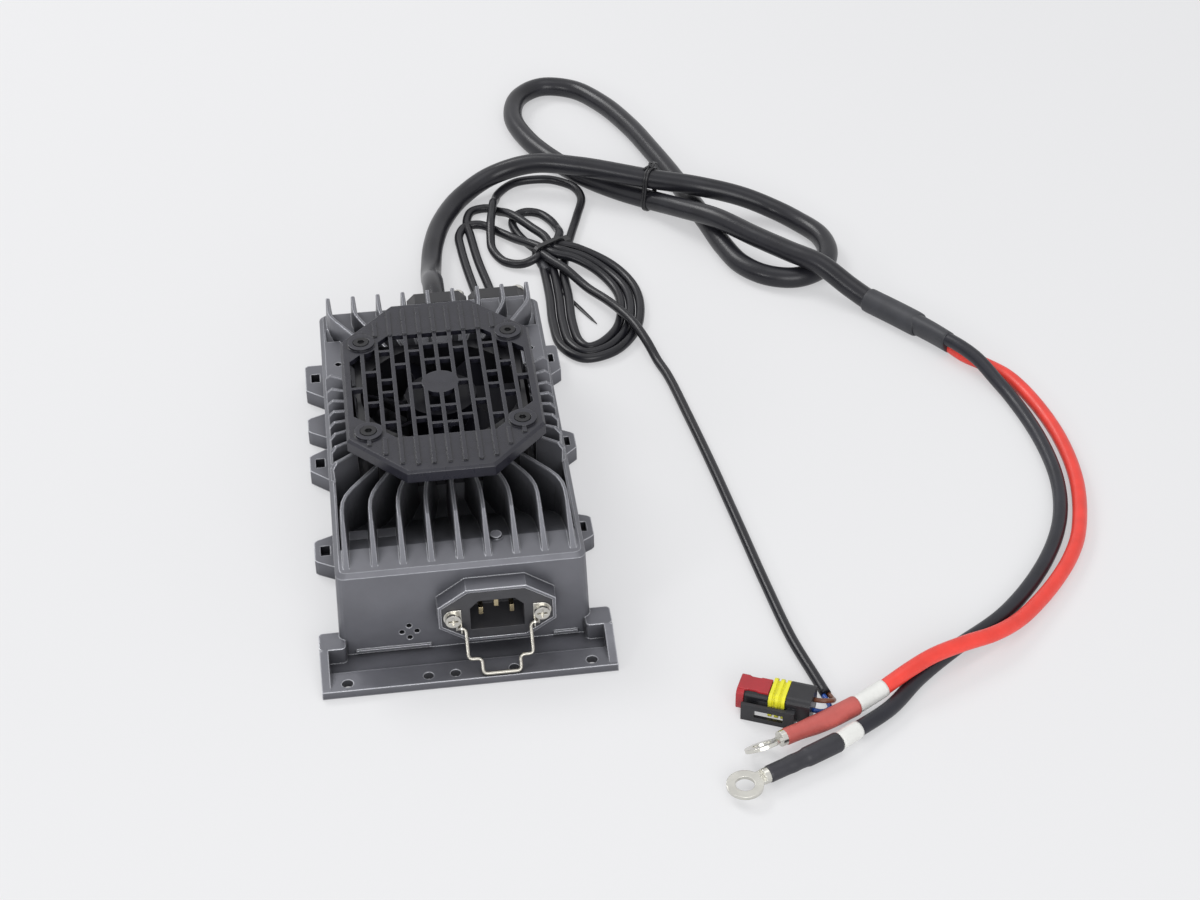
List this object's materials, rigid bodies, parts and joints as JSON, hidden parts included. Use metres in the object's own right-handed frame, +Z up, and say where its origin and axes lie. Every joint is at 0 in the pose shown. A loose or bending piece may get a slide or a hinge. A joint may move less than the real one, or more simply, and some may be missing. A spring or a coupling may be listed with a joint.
{
  "type": "battery charger",
  "caption": "Finned die-cast battery charger with a top fan under a grille, a mains inlet with a wire bail, an output cable ending in ring lugs and a signal cable with a sealed plug.",
  "frame": {"origin": "middle of the housing's footprint with its feet and outlet collars, on the face that it rests on, the free cables left out", "axes": "+Z up out of the fan grille, -Y out of the mains inlet at the front, +Y out of the cable outlets at the rear, +X to the right as seen from the front"},
  "size_m": [0.3788, 0.624, 0.0732],
  "materials": {
    "cast_body": "satin die-cast skin",
    "cover_sheet": "satin",
    "seal_rubber": "matte",
    "bright_steel": "bright zinc",
    "black_plastic": "matte",
    "rotor_plastic": "satin",
    "grille_plastic": "satin",
    "copper": "enamelled wire",
    "black_steel": "black coated",
    "contact_metal": "plated",
    "white_plastic": "smooth",
    "board_green": "solder mask",
    "ferrite": "matte",
    "winding_tape": "taped",
    "core_green": "coated",
    "core_yellow": "coated",
    "can_blue": "sleeved",
    "film_orange": "moulded",
    "pad_grey": "matte",
    "fuse_ceramic": "smooth",
    "black_jacket": "glossy jacket",
    "red_jacket": "glossy jacket",
    "brown_jacket": "glossy jacket",
    "sleeve_black": "shrunk sleeve",
    "boot_red": "matte",
    "boot_black": "matte",
    "tinned_copper": "tinned",
    "yellow_rubber": "matte",
    "lock_red": "moulded",
    "wire_blue": "glossy jacket",
    "tie_black": "smooth nylon"
  },
  "bodies": {
    "housing": {"housing": "cast_body", "bottom_cover": "cover_sheet", "cover_gasket": "seal_rubber", "cover_screws": "bright_steel", "fan_frame": "black_plastic", "fan_stator": "copper", "fan_grille": "grille_plastic", "grille_screws": "black_steel", "inlet_body": "black_plastic", "inlet_pins": "contact_metal", "inlet_screws": "bright_steel", "bail_brackets": "bright_steel", "vent_membrane": "white_plastic", "dc_gland": "black_plastic", "signal_gland": "black_plastic", "gland_gaskets": "seal_rubber", "gland_screws": "bright_steel", "circuit_board": "board_green", "board_screws": "bright_steel", "transformer_core": "ferrite", "transformer_winding": "winding_tape", "boost_choke_core": "core_green", "boost_choke_winding": "copper", "filter_choke": "core_yellow", "bulk_capacitors": "can_blue", "film_capacitor": "film_orange", "output_capacitors": "can_blue", "power_transistors": "black_plastic", "thermal_pads": "pad_grey", "fuse": "fuse_ceramic", "control_board": "board_green", "output_terminals": "contact_metal", "output_leads": "red_jacket", "input_leads": "brown_jacket", "fan_lead": "black_jacket", "lead_grommet": "seal_rubber", "dc_cable_lead": "black_jacket", "dc_cable_hank": "black_jacket", "dc_cable_tail": "black_jacket", "breakout_sleeves": "sleeve_black", "positive_lead": "red_jacket", "negative_lead": "black_jacket", "marker_sleeves": "white_plastic", "positive_boot": "boot_red", "negative_boot": "boot_black", "positive_lug": "tinned_copper", "negative_lug": "tinned_copper", "signal_lead_a": "black_jacket", "signal_lead_b": "black_jacket", "signal_hank": "black_jacket", "signal_tail": "black_jacket", "connector_body": "black_plastic", "connector_seal": "yellow_rubber", "connector_lock": "lock_red", "connector_wires": "wire_blue", "dc_tie": "tie_black", "signal_tie": "tie_black"},
    "fan_rotor": {"fan_rotor": "rotor_plastic"},
    "wire_bail": {"wire_bail": "bright_steel"}
  },
  "joints": [
    {"name": "fan_spin", "type": "hinge", "parent": "housing", "child": "fan_rotor", "pos_m": [0, 0.0038, 0.05], "axis": [0, 0, 1], "continuous": true},
    {"name": "bail_swing", "type": "hinge", "parent": "housing", "child": "wire_bail", "pos_m": [0.0143, -0.1148, 0.0201], "axis": [-1, 0, 0], "range_deg": [0, 110]}
  ]
}
